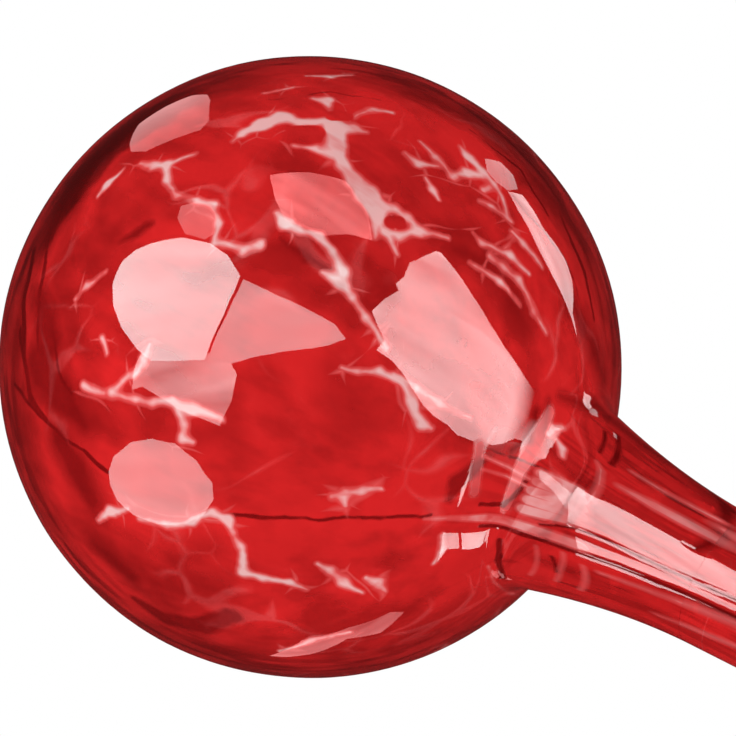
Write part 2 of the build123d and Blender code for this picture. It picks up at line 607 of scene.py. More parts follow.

# %% [markdown]
# The red isn't even either. Some chips and patches are darker, many of the dark patches along the outline,
# and other patches are brighter. A thin dark line runs round the bulb, which is a painted reflection of a
# dark edge. The table of dark shapes adds to each list how far its strokes melt together, how soft its
# edges are and how dark it gets.

# %% List the dark and bright patches of the red
dark_lines = [
    # Painted reflection: these first two lines are the thin dark line of a dark edge mirrored round the bulb.
    [(14, 384, 5), (48, 424, 5), (108, 472, 6)],
    [(210, 514, 5), (320, 519, 4), (430, 516, 4)],
    [(34, 250, 9), (24, 300, 12), (25, 360, 9)],
    [(50, 235, 6), (40, 290, 9), (38, 350, 6)],
    [(66, 200, 8), (52, 240, 6)],
    [(52, 330, 3), (62, 380, 6), (84, 410, 3)],
    [(20, 330, 9), (30, 395, 10), (52, 428, 5)],
    [(84, 160, 9), (112, 132, 6), (140, 112, 2)],
    [(268, 100, 1), (330, 92, 2), (380, 100, 1)],
    [(560, 215, 4), (584, 270, 8), (594, 320, 4)],
    [(470, 130, 2), (520, 170, 5), (548, 215, 3)],
    [(485, 447, 2), (510, 458, 3), (545, 470, 3)],
    [(480, 505, 5), (502, 506, 7), (520, 492, 5), (530, 478, 3)],
    [(500, 540, 4), (497, 560, 5), (503, 578, 4)],
    [(216, 334, 1), (224, 314, 1), (239, 277, 1)],
    [(511, 195, 1), (545, 232, 3), (566, 262, 3), (580, 300, 1)],
]
dark_patches = [
    [(96, 545, 24), (130, 575, 34)],
    [(60, 440, 44), (92, 500, 36)],
    [(40, 365, 60), (84, 425, 30)],
    [(40, 300, 40), (52, 345, 40)],
    [(48, 240, 40), (85, 170, 60), (130, 125, 50), (190, 84, 26), (240, 68, 12)],
    [(455, 250, 16), (486, 262, 14), (512, 300, 20), (528, 330, 12)],
    [(570, 300, 24), (595, 350, 30), (604, 380, 24)],
]
dark_chips = [
    [(136, 600, 12), (165, 618, 24), (200, 626, 28), (230, 616, 26)],
    [(447, 500, 8), (456, 484, 16), (474, 468, 14), (488, 458, 8)],
    [(118, 243, 3), (136, 233, 9), (152, 223, 8)],
    [(282, 238, 6), (306, 258, 12), (330, 272, 8)],
    [(536, 412, 8), (528, 440, 10), (512, 452, 8)],
]
mild_patches = [
    [(110, 556, 40), (160, 588, 50), (215, 588, 50)],
    [(72, 215, 22), (60, 275, 34), (72, 330, 30), (90, 350, 20)],
    [(104, 195, 20), (100, 235, 26)],
    [(176, 560, 30), (215, 545, 20)],
    [(395, 275, 14), (380, 300, 14)],
    [(420, 630, 30), (465, 600, 30)],
    [(140, 186, 24), (172, 205, 26)],
    [(100, 255, 16), (118, 225, 14)],
    [(276, 243, 20), (312, 262, 18)],
    [(300, 285, 30), (350, 305, 30)],
    [(330, 370, 30), (350, 420, 40)],
    [(150, 440, 20), (230, 430, 30)],
    [(430, 230, 20), (470, 235, 30)],
]
bright_patches = [
    [(365, 100, 40), (410, 115, 60), (455, 140, 50), (500, 178, 20)],
    [(345, 590, 40), (400, 585, 44), (440, 560, 40)],
    [(230, 660, 20), (320, 664, 20), (400, 655, 20), (440, 640, 10)],
    [(400, 525, 20), (440, 560, 30), (490, 600, 20)],
    [(560, 190, 20), (590, 240, 20), (606, 300, 14)],
    [(110, 380, 30), (140, 440, 20), (250, 430, 30), (270, 450, 30)],
]
dark_shapes = (
    (dark_lines, 1, 2, 1.0),
    (dark_patches, 20, 26, 0.9),
    (mild_patches, 20, 24, 0.45),
    (dark_chips, 8, 7, 0.85),
)
print(len(dark_lines), "dark lines,", len(dark_patches + dark_chips + mild_patches), "patches")

# %% [markdown]
# The neck was narrowed with jacks, which are like large tweezers, while the globe turned. They left rings
# across it and grooves along it. The grooves are cut into the surface and darkened with painted shade, the
# shades along the neck are painted shade, the glints are painted highlights, and the lights are partly pale
# streaks and rings of the glass and partly painted reflections of windows. Where the jacks pressed hardest,
# in the tight corner between bulb and neck, the surface stayed a little dull.

# %% List the marks of the neck
# Painted shade: dark bands along the neck and in the tight corner between bulb and neck.
neck_painted_shades = [
    [(560, 396, 10), (600, 410, 20), (640, 442, 20), (690, 478, 12), (732, 514, 8)],
    [
        (548, 402, 8), (546, 430, 10), (552, 450, 8), (574, 476, 6), (600, 494, 6), (640, 520, 5),
        (690, 545, 3),
    ],
    [(600, 590, 2), (640, 607, 5), (692, 632, 2)],
    [(540, 560, 8), (570, 570, 8), (590, 578, 3)],
]
# Grooves, cut into the surface by Bump, whose dark colour is painted shade.
neck_grooves_and_painted_shade = [
    [(617, 416, 5), (660, 450, 5), (700, 484, 5), (732, 512, 5)],
    [(480, 526, 4), (520, 533, 5), (560, 546, 5), (620, 567, 5), (690, 596, 5), (736, 617, 5)],
    [(540, 524, 2), (575, 528, 3), (606, 540, 3), (640, 557, 3), (690, 580, 3), (736, 600, 4)],
    [(722, 505, 4), (724, 520, 4), (715, 538, 4), (694, 549, 3)],
    [(650, 484, 2), (672, 498, 4), (700, 514, 3)],
    [(605, 432, 3), (600, 452, 3)],
    [(618, 436, 4), (612, 464, 4)],
    [(552, 557, 3), (557, 572, 3)],
    [(500, 540, 4), (497, 560, 5), (503, 578, 4)],
]
# Partly pale streaks and rings of the glass, partly painted reflections of windows on the neck.
neck_streaks_and_painted_reflections = [
    [(424, 519, 2), (450, 518, 5), (484, 518, 9), (512, 523, 9), (540, 532, 10), (580, 546, 10)],
    # Painted reflection: these five strokes are the blunt start of a window's bright band on the neck.
    [(541, 474, 10), (578, 491, 10)],
    [(537, 482, 10), (578, 498, 12)],
    [(532, 491, 10), (578, 506, 12)],
    [(528, 500, 10), (578, 515, 12)],
    [(523, 509, 10), (578, 523, 8)],
    [(597, 462, 2), (601, 470, 3), (599, 484, 3), (590, 500, 3), (574, 513, 2)],
    # Painted reflection: these two strokes are a window's pale stripe along the neck.
    [(632, 472, 2), (665, 492, 4), (717, 519, 4)],
    [(620, 487, 4), (655, 506, 9), (708, 534, 10)],
    [(727, 532, 6), (742, 541, 8)],
    [(563, 553, 1), (560, 570, 1), (556, 581, 1)],
    [(583, 566, 1), (580, 590, 1)],
    [(536, 546, 1), (530, 575, 1)],
    [(488, 566, 2), (494, 582, 2), (512, 594, 2), (528, 596, 2)],
    [(483, 456, 3), (508, 467, 4), (530, 479, 4)],
    [(482, 469, 2), (506, 476, 3), (528, 487, 3)],
    [(600, 573, 2), (650, 591, 3), (736, 623, 4)],
    [(660, 616, 2), (736, 646, 3)],
]
# Painted highlights: two bright glints at the neck's root.
neck_painted_glints = [
    [(549, 434, 6), (553, 428, 8), (562, 427, 5)],
    [(557, 440, 3), (562, 448, 6), (562, 456, 4)],
]
tool_marks = [
    [(480, 446, 12), (475, 492, 12)],
    [(550, 412, 14), (536, 440, 18), (518, 472, 14), (505, 508, 10)],
]
print(len(neck_painted_shades), "shades,", len(neck_grooves_and_painted_shade), "grooves,", len(neck_streaks_and_painted_reflections), "lights")

# %% [markdown]
# The neck belongs to the bulb and to the stem's sleeve, so both materials need its marks, and a group
# holds them. It puts out only masks: the painted shade, the grooves, and the lights with their painted
# reflections and painted highlights. Each material decides what a groove or a light does to its own
# colour.

# %% Make the group for the neck's marks
marks, given, gives = new_group(
    "neck_marks_and_painted_light", [("Place", "Vector")], [("Shade", "Float"), ("Groove", "Float"), ("Light", "Float")]
)
# Shade is painted shade, and Light holds painted reflections and painted highlights besides pale glass.
shades = shape_mask(marks, draw(marks, given["Place"], neck_painted_shades, 6), 12, 0.8)
grooves = shape_mask(marks, draw(marks, given["Place"], neck_grooves_and_painted_shade), 2)
lights = shape_mask(marks, draw(marks, given["Place"], neck_streaks_and_painted_reflections), 3, 0.5)
glints = shape_mask(marks, draw(marks, given["Place"], neck_painted_glints), 4)
lights = maths(marks, "MAXIMUM", lights, glints)
for socket, value in (("Shade", shades), ("Groove", grooves), ("Light", lights)):
    marks.links.new(value, gives[socket])
print(marks.name, "has", len(marks.nodes), "nodes")

# %% [markdown]
# The bulb was rolled over chips of red glass while hot, which melted into rounded patches with pale seams
# of the glass below. Voronoi Texture does just that on the sides that aren't drawn: its cells are the
# chips, and its distance to an edge gives the seams. Noise first pushes the place that it reads about, so
# that no seam is straight, and more noise widens, narrows and closes the seams. The drawn veins come in
# as an input.

# %% Make the group for melted chips
mottle, given, gives = new_group(
    "mottled_chips",
    [("Place", "Vector"), ("Seams", "Float"), ("Near", "Float"), ("Drawn", "Float")]
    + [("Dark", "Float"), ("Bright", "Float")],
    [("Colour", "Color")],
)
push = wandering(mottle, given["Place"], 60, 14 * MM)
pushed = vectors(mottle, "ADD", given["Place"], push)
edges = add(mottle, "ShaderNodeTexVoronoi", {"Vector": pushed, "Scale": 95}, feature="DISTANCE_TO_EDGE")
width = remap(mottle, noise(mottle, given["Place"], 48, 1), 0.45, 0.75, 0.0, 0.16)
width = maths(mottle, "MULTIPLY", width, given["Seams"])
width = maths(mottle, "ADD", width, maths(mottle, "MULTIPLY", given["Near"], 0.03))
bare = maths(mottle, "SUBTRACT", width, edges.outputs["Distance"])
bare = remap(mottle, bare, 0.0, 0.06, 0.0, 0.75)
pale = maths(mottle, "MAXIMUM", bare, given["Drawn"], clamp=True)
print("the seams take", len(mottle.nodes), "nodes")

# %% [markdown]
# The red of the chips goes from deep to bright in soft clouds, with fine fibres along the bulb, because
# the chips stretched as it was blown. A vein is pink where it is thin, with some red left over it, and
# nearly white in its middle. That needs two Mix nodes, one after the other.

# %% Colour the chips and the seams
bright_red = (0.72, 0.019, 0.02)
deep_red = (0.38, 0.009, 0.0095)
shaded_red = (0.16, 0.0025, 0.003)
# The vein colours also carry the neck's painted reflections and painted highlights.
vein_and_painted_light_pink = (0.85, 0.13, 0.13)
vein_and_painted_light_white = (1.0, 0.78, 0.77)
cloudy = {"Vector": given["Place"], "Scale": 48, "Detail": 3, "Distortion": 1.2}
cloud = remap(mottle, add(mottle, "ShaderNodeTexNoise", cloudy).outputs["Fac"], 0.36, 0.62)
long = vectors(mottle, "MULTIPLY", given["Place"], (1, 1, 0.25))
fibre = remap(mottle, noise(mottle, long, 330, 3), 0.35, 0.65, -0.3, 0.3)
depth = maths(mottle, "SUBTRACT", maths(mottle, "ADD", cloud, fibre), given["Bright"], clamp=True)
red = mixed(mottle, depth, bright_red, deep_red)
red = mixed(mottle, given["Dark"], red, shaded_red)
pale = maths(mottle, "MULTIPLY", pale, maths(mottle, "SUBTRACT", 1.0, fibre), clamp=True)
pink = remap(mottle, pale, 0.0, 0.5)
white = remap(mottle, pale, 0.4, 1.0)
colour = mixed(mottle, white, mixed(mottle, pink, red, vein_and_painted_light_pink), vein_and_painted_light_white)
mottle.links.new(colour, gives["Colour"])
print(mottle.name, "has", len(mottle.nodes), "nodes")

# %% [markdown]
# Along neck and stem the same colour was drawn out into long streaks. Noise makes streaks when the place
# that it reads is stretched: here the direction round the axis counts in full, and the height only a
# little. So a streak stays narrow on the thin stem and widens with the neck.

# %% Make the group for drawn streaks
streaky, given, gives = new_group(
    "drawn_streaks", [("Place", "Vector")], [("Dark", "Float"), ("Bright", "Float")]
)
round_it = vectors(streaky, "NORMALIZE", vectors(streaky, "MULTIPLY", given["Place"], (1, 1, 0)))
along = vectors(streaky, "MULTIPLY", given["Place"], (0, 0, 9))
place = vectors(streaky, "ADD", round_it, along)
broad = noise(streaky, place, 2.6, 1)
fine = noise(streaky, place, 13, 2)
both = maths(streaky, "ADD", maths(streaky, "MULTIPLY", broad, 0.45), maths(streaky, "MULTIPLY", fine, 0.55))
dark = remap(streaky, both, 0.49, 0.4)
bright = remap(streaky, both, 0.54, 0.62)
streaky.links.new(dark, gives["Dark"])
streaky.links.new(bright, gives["Bright"])
print(streaky.name, "has", len(streaky.nodes), "nodes")

# %% [markdown]
# The bulb's own material is made in three steps. The first feeds the lists of veins and patches into the
# chips' group. Their edges are made ragged with fine noise, because melted colour never has a clean edge.
# Near the outline of the ball, dark streaks of painted shade deepen the rim.

# %% Draw the front of the bulb
def ragged_place(tree, place, spot):
    """The place on the true ball, pushed a little to and fro, for edges that look melted."""
    return vectors(tree, "ADD", spot, wandering(tree, place, 300, 1.2 * MM))


def rim_shade_streaks(tree, direction, toward):
    """A mask of painted shade in streaks, only in a ring near the outline of the drawn side."""
    rim_place = vectors(tree, "ADD", scaled(tree, direction, 3.5), scaled(tree, tuple(back * 16), toward))
    bands = remap(tree, noise(tree, rim_place, 1.0, 2), 0.48, 0.6, 0.0, 0.75)
    side = remap(tree, toward, 0.48, 0.32)
    return maths(tree, "MULTIPLY", bands, side)


def deepest_of(tree, masks):
    """The strongest of several masks at each place."""
    result = masks[0]
    for mask in masks[1:]:
        result = maths(tree, "MAXIMUM", result, mask)
    return result


def draw_front(tree, pattern, place, spot, direction, toward, on_neck, streak_dark):
    """Feeds the drawn veins and patches to the chips' group, and gives the neck's marks."""
    ragged = ragged_place(tree, place, spot)
    marked = stamped(tree, marks, {"Place": spot})
    seams = draw(tree, ragged, pale_lines, 10)
    spots = shape_mask(tree, draw(tree, spot, red_spots), -2)
    pale = remap(tree, seams, 3.5 * px, -3 * px)
    near = remap(tree, seams, 16 * px, 4 * px)
    pale = maths(tree, "MULTIPLY", pale, spots)
    # The neck's lights join the pale glass here, painted reflections and painted highlights among them.
    tree.links.new(maths(tree, "MAXIMUM", pale, marked.outputs["Light"]), pattern.inputs["Drawn"])
    tree.links.new(maths(tree, "MULTIPLY", near, spots), pattern.inputs["Near"])
    dark = []
    for lines, melt, soft, share in dark_shapes:
        dark.append(shape_mask(tree, draw(tree, ragged, lines, melt), soft, share))
    off_neck = maths(tree, "SUBTRACT", 1.0, on_neck)
    # Painted shade: dark streaks near the outline, away from the neck.
    dark.append(maths(tree, "MULTIPLY", rim_shade_streaks(tree, direction, toward), off_neck))
    # Painted shade: the neck's grooves and shades darken the red here.
    dark += [streak_dark, marked.outputs["Groove"], marked.outputs["Shade"]]
    tree.links.new(deepest_of(tree, dark), pattern.inputs["Dark"])
    brighter = shape_mask(tree, draw(tree, ragged, bright_patches, 20), 30, 0.8)
    brighter = maths(tree, "MAXIMUM", brighter, maths(tree, "MULTIPLY", on_neck, 0.8))
    tree.links.new(brighter, pattern.inputs["Bright"])
    return marked


print("functions for the front of the bulb are ready")

# %% [markdown]
# The second step is the rim, which gets painted shade: a band of deeper red just inside the outline of the
# ball, with a thin line outside it where the red comes back. Layer Weight's Facing gives how far the
# surface turns away, in every view alike. Some sides of the bulb get more of the painted shade.

# %% Paint shade on the rim of the bulb
# Painted shade at the rim: the sides that get more of it, and its darkest share of the colour.
shaded_sides = ((45, 0.74, 0.98), (135, 0.72, 0.93), (190, 0.72, 1.3))
darkest_rim_shade = 0.22


def painted_rim_shade(tree, place, direction):
    """The share of the colour that is kept, least in a band of painted shade near the ball's outline."""
    facing = add(tree, "ShaderNodeLayerWeight", {"Blend": 0.5}).outputs["Facing"]
    uneven = remap(tree, noise(tree, place, 110, 3), 0.3, 0.7, -0.05, 0.05)
    facing = maths(tree, "ADD", facing, uneven)
    shaded = 0.0
    for turn, nearly, fully in shaded_sides:
        side = right * math.cos(math.radians(turn)) + up * math.sin(math.radians(turn))
        toward_side = vectors(tree, "DOT_PRODUCT", direction, tuple(side))
        shaded = maths(tree, "MAXIMUM", remap(tree, toward_side, nearly, fully), shaded)
    deepest = remap(tree, shaded, 0.0, 1.0, 1.0, darkest_rim_shade)
    inner_side = remap(tree, facing, 0.575, 0.61, 1.0, deepest)
    outer_side = remap(tree, facing, 0.79, 0.84)
    return maths(tree, "ADD", inner_side, outer_side, clamp=True)


print(len(shaded_sides), "thick sides of the wall")

# %% [markdown]
# The third step is the glass. The chips let about half of the light through as clear glass does, and
# scatter the rest in their own colour, because they are slightly milky. The Principled BSDF does both
# with a Transmission Weight between 0 and 1. The far side of the bulb is clearer, because its colour
# shows a second time through the front. A faint Bump makes the reflections ripple, and a second one cuts
# the grooves of the neck.

# %% Make the bulb's glass
glass_bend = 1.5
groove_depth = 0.12 * MM
ripple_depth = 0.1 * MM
neck_starts = (236 * MM, 229 * MM)


def grooved(tree, groove, values=None):
    """The normal of glass with the neck's grooves cut into it."""
    values = {"Strength": 0.5, "Distance": groove_depth, "Height": groove} | (values or {})
    return add(tree, "ShaderNodeBump", values, invert=True).outputs[0]


def mottled_glass(name, front, clearness):
    """The bulb's material. Its front has the drawn shapes, and the far side has seams of its own."""
    material, tree, surface = new_material(name)
    place = add(tree, "ShaderNodeTexCoord").outputs["Object"]
    pattern = stamped(tree, mottle, {"Place": place})
    drawing = stamped(tree, streaky, {"Place": place})
    direction, spot = on_true_ball(tree, place)
    toward = vectors(tree, "DOT_PRODUCT", direction, tuple(back))
    tree.links.new(remap(tree, toward, 0.3, -0.1), pattern.inputs["Seams"])
    height = add(tree, "ShaderNodeSeparateXYZ", {0: place}).outputs[2]
    on_neck = remap(tree, height, *neck_starts)
    streak_dark = maths(tree, "MULTIPLY", drawing.outputs["Dark"], maths(tree, "MULTIPLY", on_neck, 0.5))
    ripple = {"Strength": 0.15, "Distance": ripple_depth, "Height": noise(tree, place, 140, 2)}
    bump = add(tree, "ShaderNodeBump", ripple).outputs[0]
    roughness = 0.0
    if front:
        marked = draw_front(tree, pattern, place, spot, direction, toward, on_neck, streak_dark)
        roughness = shape_mask(tree, draw(tree, spot, tool_marks), 8, 0.4)
        bump = grooved(tree, marked.outputs["Groove"], {"Normal": bump})
    else:
        tree.links.new(streak_dark, pattern.inputs["Dark"])
        tree.links.new(maths(tree, "MULTIPLY", on_neck, 0.8), pattern.inputs["Bright"])
    # Painted shade: the rim's dark band scales the colour.
    through = painted_rim_shade(tree, place, direction)
    values = {"Base Color": scaled(tree, pattern.outputs["Colour"], through), "Roughness": roughness}
    values |= {"IOR": glass_bend, "Transmission Weight": clearness, "Normal": bump}
    principled(tree, surface, values)
    print(name, "has", len(tree.nodes), "nodes")
    return material


mottled_red = mottled_glass("mottled_red_glass", True, 0.55)
mottled_back = mottled_glass("mottled_red_glass_far_side", False, 0.85)

# %% [markdown]
# The stem's sleeve and the lip are of the same red glass, without chips: it was drawn out into dark
# streaks, with a few lighter ones between them. The neck's marks run on over the seam, so the same group
# draws them here, with its painted shade, painted reflections and painted highlights.

# %% Make the streaky red glass of stem and lip
streak_and_painted_light_pink = (1.0, 0.3, 0.3)
plain_red, tree, surface = new_material("red_glass")
place = add(tree, "ShaderNodeTexCoord").outputs["Object"]
drawing = stamped(tree, streaky, {"Place": place})
marked = stamped(tree, marks, {"Place": on_true_ball(tree, place)[1]})
dark_share = maths(tree, "MULTIPLY", drawing.outputs["Dark"], 0.5)
# Painted shade: the neck's grooves and shades darken the red of the stem too.
dark_share = deepest_of(tree, [dark_share, marked.outputs["Groove"], marked.outputs["Shade"]])
red = mixed(tree, dark_share, bright_red, shaded_red)
light_share = maths(tree, "MULTIPLY", drawing.outputs["Bright"], 0.15)
# The neck's lights, painted reflections and painted highlights among them, turn the red pink here.
light_share = maths(tree, "MAXIMUM", light_share, marked.outputs["Light"])
bump = grooved(tree, marked.outputs["Groove"])
values = {"Base Color": mixed(tree, light_share, red, streak_and_painted_light_pink), "Roughness": 0.0, "Normal": bump}
values |= {"IOR": glass_bend, "Transmission Weight": 0.55}
principled(tree, surface, values)
print(plain_red.name, "has", len(tree.nodes), "nodes")

# %% [markdown]
# All colour lies in the outer glass. The inner walls of the bulb and the bore are clear, so they only
# bend the light. Were they red too, each ray would be tinted twice as often and the bulb would look
# nearly black.

# %% Make the clear glass of the inner walls
values = {"Base Color": (1, 0.96, 0.96, 1), "Roughness": 0.0, "IOR": glass_bend, "Transmission Weight": 1}
clear = plain_material("clear_inner_glass", values)

# %% [markdown]
# Where two masses of glass were fused while hot, no surface is left between them. The pieces stay
# separate here, so the faces that meet in such a place are simply not seen: their Alpha is 0 and light
# passes straight on.

# %% Make the fused faces, where two masses of glass are one
fused = plain_material("fused_glass", {"Base Color": (1, 1, 1, 1), "Alpha": 0.0})

# %% [markdown]
# The slivers are colour and nothing else: dark red that the light half passes. A rough surface without a
# reflection of its own and an Alpha of one half make them look sunk into the sleeve.

# %% Make the dark red colour of the slivers
values = {"Base Color": (0.25, 0.008, 0.01, 1), "Roughness": 0.4, "Alpha": 0.5}
dark_red = plain_material("dark_red_glass", values)

# %% [markdown]
# A mesh can carry several materials, one for each face. Here a face is known by its middle and its
# normal: faces that look towards the hollow get clear glass, faces against another piece are fused, and
# the outer ones are red, the drawn glass on the side that the photograph shows and the other on the far
# side.

# %% Give each face its glass
def paint(piece, materials, chooser):
    """Puts the materials on a piece, with the one that chooser names for each face's middle and normal."""
    piece.data.materials.clear()
    for material in materials:
        piece.data.materials.append(material)
    for face in piece.data.polygons:
        face.material_index = chooser(face.center / MM, face.normal)


def faces_in(centre, normal):
    """Whether a face looks towards the hollow inside."""
    core = Vector((0, 0, min(centre.z, middle)))
    return (centre - core).dot(normal) < 0


def bulb_glass(centre, normal):
    """The glass of a face of the bulb: drawn, far side, clear or fused."""
    out = math.hypot(centre.x, centre.y)
    if centre.z < flare[1] + 0.01 and out > bore + 0.1:
        return 3
    if centre.z < lip_height + gap + 0.01:
        return 3
    if faces_in(centre, normal):
        return 2
    return 0 if (centre - bulb_middle / MM).dot(back) > -2 else 1


def stem_glass(centre, normal):
    """The glass of a face of the sleeve: fused at its ends and inside, and else red."""
    out = math.hypot(centre.x, centre.y)
    fused_face = abs(normal.z) > 0.9 or out < tube + gap + 0.1
    return 1 if fused_face else 0


def lip_glass(centre, normal):
    """The glass of a face of the lip: fused where it meets the stem, and else red."""
    return 1 if centre.z > lip_height - 0.01 else 0


paint(bulb, [mottled_red, mottled_back, clear, fused], bulb_glass)
paint(stem, [plain_red, fused], stem_glass)
paint(lip, [plain_red, fused], lip_glass)
paint(streaks, [dark_red], lambda centre, normal: 0)

for piece, nodes, slot in (
    (bulb, ["bulb"], "mottled_red_glass"),
    (stem, ["stem_sleeve"], "red_glass"),
    (streaks, ["colour_streaks"], "dark_red_glass"),
    (lip, ["mouth_lip"], "red_glass"),
):
    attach(piece, "root")
    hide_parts(*nodes)
print("four pieces ride on the globe's one body and replace its four nodes")

# %% [markdown]
# The floor is a plain pale sheet just under the mouth. It isn't seen in reflections on the glass, where
# it would be a hard line, and from below it lets the camera look through, because the photograph looks up
# at the globe.

# %% Lay the floor
bpy.ops.object.select_all(action="DESELECT")
bpy.ops.mesh.primitive_plane_add(size=6, location=(0, 0, -0.2 * MM))
floor = bpy.context.object
floor.name = "floor"
floor.visible_glossy = False
pale_floor, tree, surface = new_material("pale_floor")
paper = add(tree, "ShaderNodeBsdfPrincipled", {"Base Color": (0.9, 0.9, 0.9, 1), "Roughness": 0.9})
open_air = add(tree, "ShaderNodeBsdfTransparent")
from_below = add(tree, "ShaderNodeNewGeometry").outputs["Backfacing"]
tree.links.new(blended(tree, from_below, paper, open_air).outputs[0], surface)
floor.data.materials.append(pale_floor)
print(floor.name, round(floor.dimensions.x, 1), "m wide")

# %% [markdown]
# The world is a white room for the eye and for light that comes through the glass, which makes the
# background white and the glass bright. For reflections it is a dim red room instead: the bulb in the
# photograph mirrors dark surroundings between its windows, tinted by the glass. Light that was mirrored
# inside the glass before it left gets a part of each, as Light Path's Glossy Depth tells. The even light
# on other surfaces is plain white.

# %% Light the room
world = bpy.data.worlds.new("studio")
bpy.context.scene.world = world
world.use_nodes = True
tree = world.node_tree
tree.nodes.clear()
path = add(tree, "ShaderNodeLightPath").outputs
mirrored = maths(tree, "GREATER_THAN", path["Glossy Depth"], 0.5)
passing = maths(tree, "SUBTRACT", 1.0, maths(tree, "MULTIPLY", mirrored, 0.6))
through = maths(tree, "MULTIPLY", path["Is Transmission Ray"], passing)
seen = maths(tree, "MAXIMUM", path["Is Camera Ray"], through)
room = add(tree, "ShaderNodeBackground", {"Color": (0.93, 0.93, 0.93, 1), "Strength": 1.05})
dark_room = add(tree, "ShaderNodeBackground", {"Color": (0.2, 0.03, 0.03, 1), "Strength": 0.6})
bright = add(tree, "ShaderNodeBackground", {"Color": (1, 1, 1, 1), "Strength": 1})
lit = blended(tree, path["Is Glossy Ray"], room, dark_room)
mix = blended(tree, seen, lit, bright)
tree.links.new(mix.outputs[0], add(tree, "ShaderNodeOutputWorld").inputs["Surface"])
print("world with", len(tree.nodes), "nodes")

# %% [markdown]
# The pale shapes on the bulb are windows and lamps that it mirrors. To put one where the photograph shows
# it, the ray through each corner's pixel is mirrored by the glass and followed out, and the window's
# corner goes there. Glowing panes that only reflections see then give the very shapes, and they slide
# over the bulb in other views as real windows do. The bands on the neck come from panes close by, because
# the neck curves both ways, and far ones would be torn apart.

# %% Follow a mirrored ray
neck_window = 8 * MM
far_window = 1200 * MM


def reflected(x, y, distance_out):
    """Where a pixel's ray goes once the glass has mirrored it, at a distance out."""
    ray = through_pixel(x, y)
    point, normal, face, distance = outside.ray_cast(eye, ray)
    if point is None:
        point = touched(x, y)
    if (point - bulb_middle).length < bulb_radius + 0.05 * MM:
        normal = (point - bulb_middle).normalized()
    ray = ray - normal * 2 * ray.dot(normal)
    return point + ray * distance_out


print("straight ahead the glass mirrors", [round(c, 2) for c in reflected(310, 367, far_window)])

# %% [markdown]
# Each window has a strength, a tint and the pixels of its outline. The tint is bluish where the
# photograph's highlight is whiter than the red below it, and reddish where it is only a thin veil over
# the red.

# %% List the windows
windows = {
    "lobe": (
        11.8, (0.88, 1, 1),
        [
            (115, 285), (124, 264), (135, 252), (151, 244), (182, 238), (212, 244), (228, 256), (239, 275),
            (232, 292), (222, 315), (213, 334), (205, 357), (182, 359), (151, 357), (137, 346), (122, 325),
            (115, 305),
        ],
    ),
    "tail": (
        6.0, (0.95, 1, 1),
        [
            (242, 278), (273, 294), (314, 313), (334, 323), (345, 339), (324, 346), (273, 354), (232, 362),
            (208, 358), (216, 334), (225, 315), (235, 293),
        ],
    ),
    "round": (
        5, (1, 0.5, 0.5),
        [
            (178, 217), (181, 205), (196, 201), (210, 205), (217, 219), (214, 235), (206, 240), (186, 234),
        ],
    ),
    "upper": (
        3, (1, 0.45, 0.45),
        [
            (132, 142), (141, 123), (165, 107), (190, 96), (206, 95), (209, 101), (207, 121), (198, 130),
            (149, 150), (134, 150),
        ],
    ),
    "oval": (
        5.8, (0.95, 1, 1),
        [
            (108, 471), (114, 454), (131, 442), (151, 440), (175, 445), (196, 462), (212, 483), (213, 497),
            (204, 513), (184, 523), (159, 523), (135, 515), (118, 501), (110, 485),
        ],
    ),
    "sill": (
        8, (1, 0.78, 0.78),
        [
            (133, 366), (141, 350), (180, 350), (226, 352), (238, 373), (235, 399), (222, 428), (202, 420),
            (177, 409), (167, 401), (141, 385), (131, 389),
        ],
    ),
    "tall": (
        12.5, (1, 0.75, 0.75),
        [
            (430, 256), (438, 252), (444, 254), (456, 272), (471, 297), (487, 325), (503, 348), (524, 376),
            (542, 404), (545, 413), (528, 426), (520, 437), (495, 446), (473, 441), (456, 434), (446, 424),
            (431, 415), (420, 404), (411, 390), (400, 372), (392, 362), (378, 352), (386, 342), (380, 330),
            (371, 311), (385, 300), (399, 293), (396, 286), (405, 279), (411, 264), (418, 262),
        ],
    ),
    "strip": (
        6.2, (1, 0.8, 0.8),
        [
            (507, 191), (523, 195), (544, 229), (566, 260), (573, 281), (573, 311), (577, 336), (566, 301),
            (552, 274), (536, 244), (518, 211),
        ],
    ),
    "lens": (
        2.5, (1, 1, 1),
        [
            (483, 158), (501, 162), (513, 174), (518, 189), (507, 190), (495, 182), (485, 170),
        ],
    ),
    "haze": (
        9.5, (1, 0.33, 0.33),
        [
            (269, 174), (312, 172), (345, 180), (367, 211), (371, 240), (345, 233), (322, 235), (284, 221),
            (275, 201),
        ],
    ),
    "low": (
        3.2, (1, 0.42, 0.42),
        [
            (268, 656), (300, 640), (345, 628), (390, 612), (404, 612), (380, 634), (345, 640), (310, 654),
            (285, 657),
        ],
    ),
    "pane_left": (
        7, (0.9, 1, 1),
        [
            (442, 533), (458, 533), (459, 548), (446, 549), (436, 562),
        ],
    ),
    "pane_right": (
        8, (0.9, 1, 1),
        [
            (461, 533), (477, 532), (478, 549), (462, 549),
        ],
    ),
    "band": (
        11, (1, 0.85, 0.85),
        [
            (575, 486), (606, 501), (628, 513), (650, 525), (690, 547), (736, 571), (760, 584), (760, 610),
            (736, 597), (690, 578), (650, 561), (615, 542), (590, 531), (572, 524), (572, 505),
        ],
    ),
    "under": (
        10, (1, 0.85, 0.85),
        [
            (576, 538), (600, 547), (640, 562), (690, 583), (736, 602), (760, 612), (760, 624), (736, 613),
            (690, 594), (640, 574), (600, 560), (578, 551),
        ],
    ),
}
print(len(windows), "windows")

